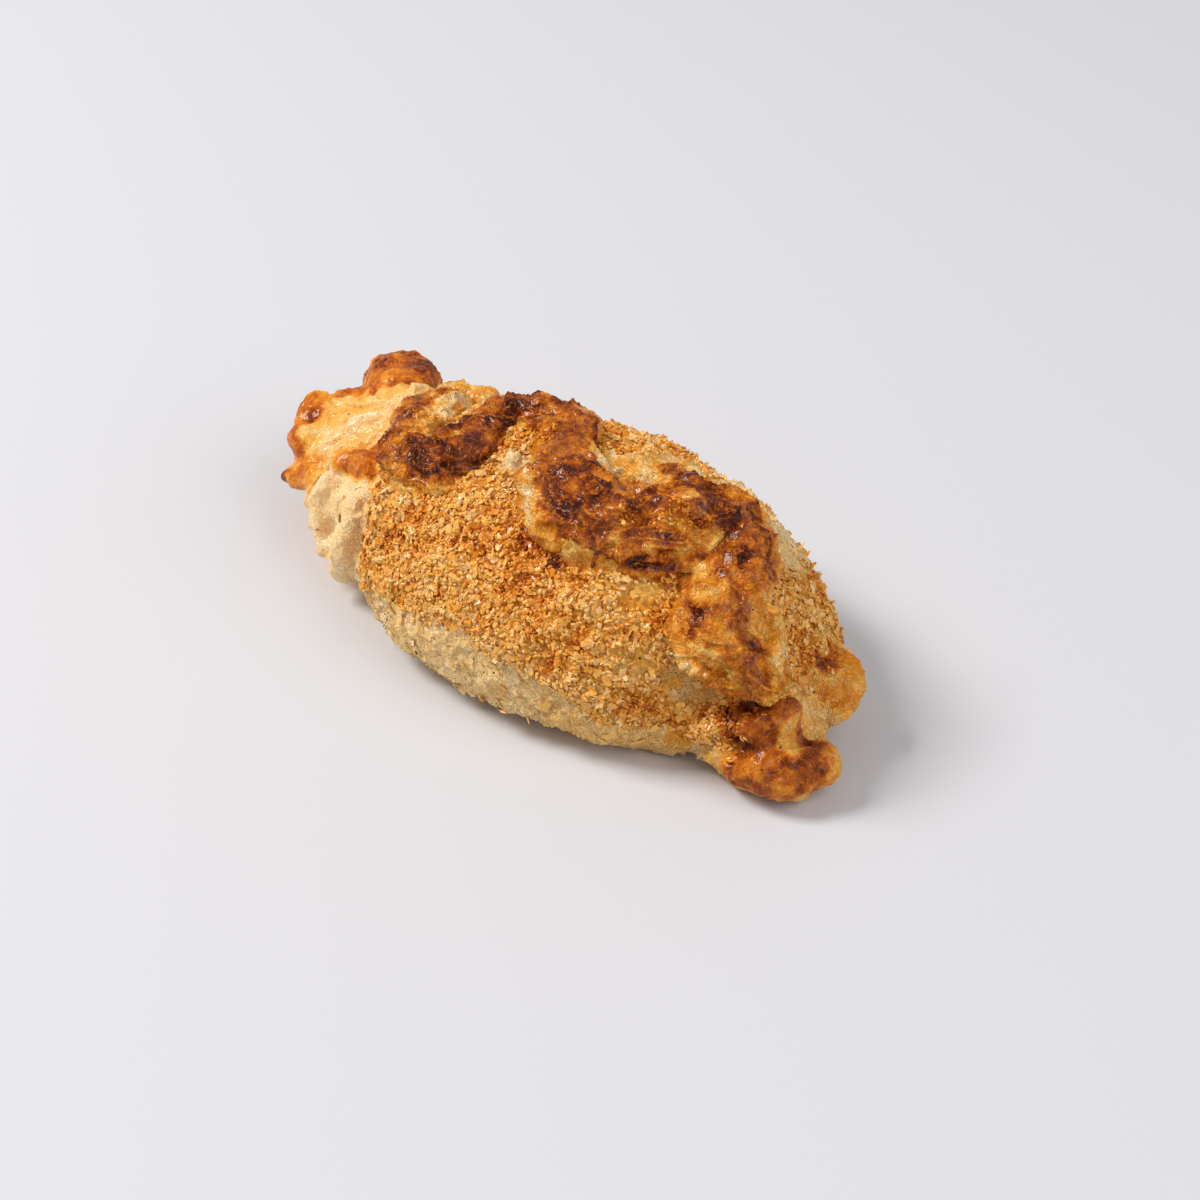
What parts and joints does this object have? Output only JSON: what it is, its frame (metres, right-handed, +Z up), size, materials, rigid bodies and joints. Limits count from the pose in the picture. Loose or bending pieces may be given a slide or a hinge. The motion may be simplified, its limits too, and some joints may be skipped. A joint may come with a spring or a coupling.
{
  "type": "pasty",
  "caption": "Whole baked pasty: a plump spindle of flaky pastry with a thick wavy crimp along its top and both ends pinched into fanned lobes.",
  "frame": {"origin": "middle of the bounding box, on the flat underside", "axes": "+X along the pasty towards its blunt end, +Z up; the crimp's big fold leans towards -Y"},
  "size_m": [0.2084, 0.0974, 0.0624],
  "materials": {
    "crust": "baked golden-brown pastry"
  },
  "bodies": {
    "root": {"pasty": "crust"}
  },
  "joints": []
}
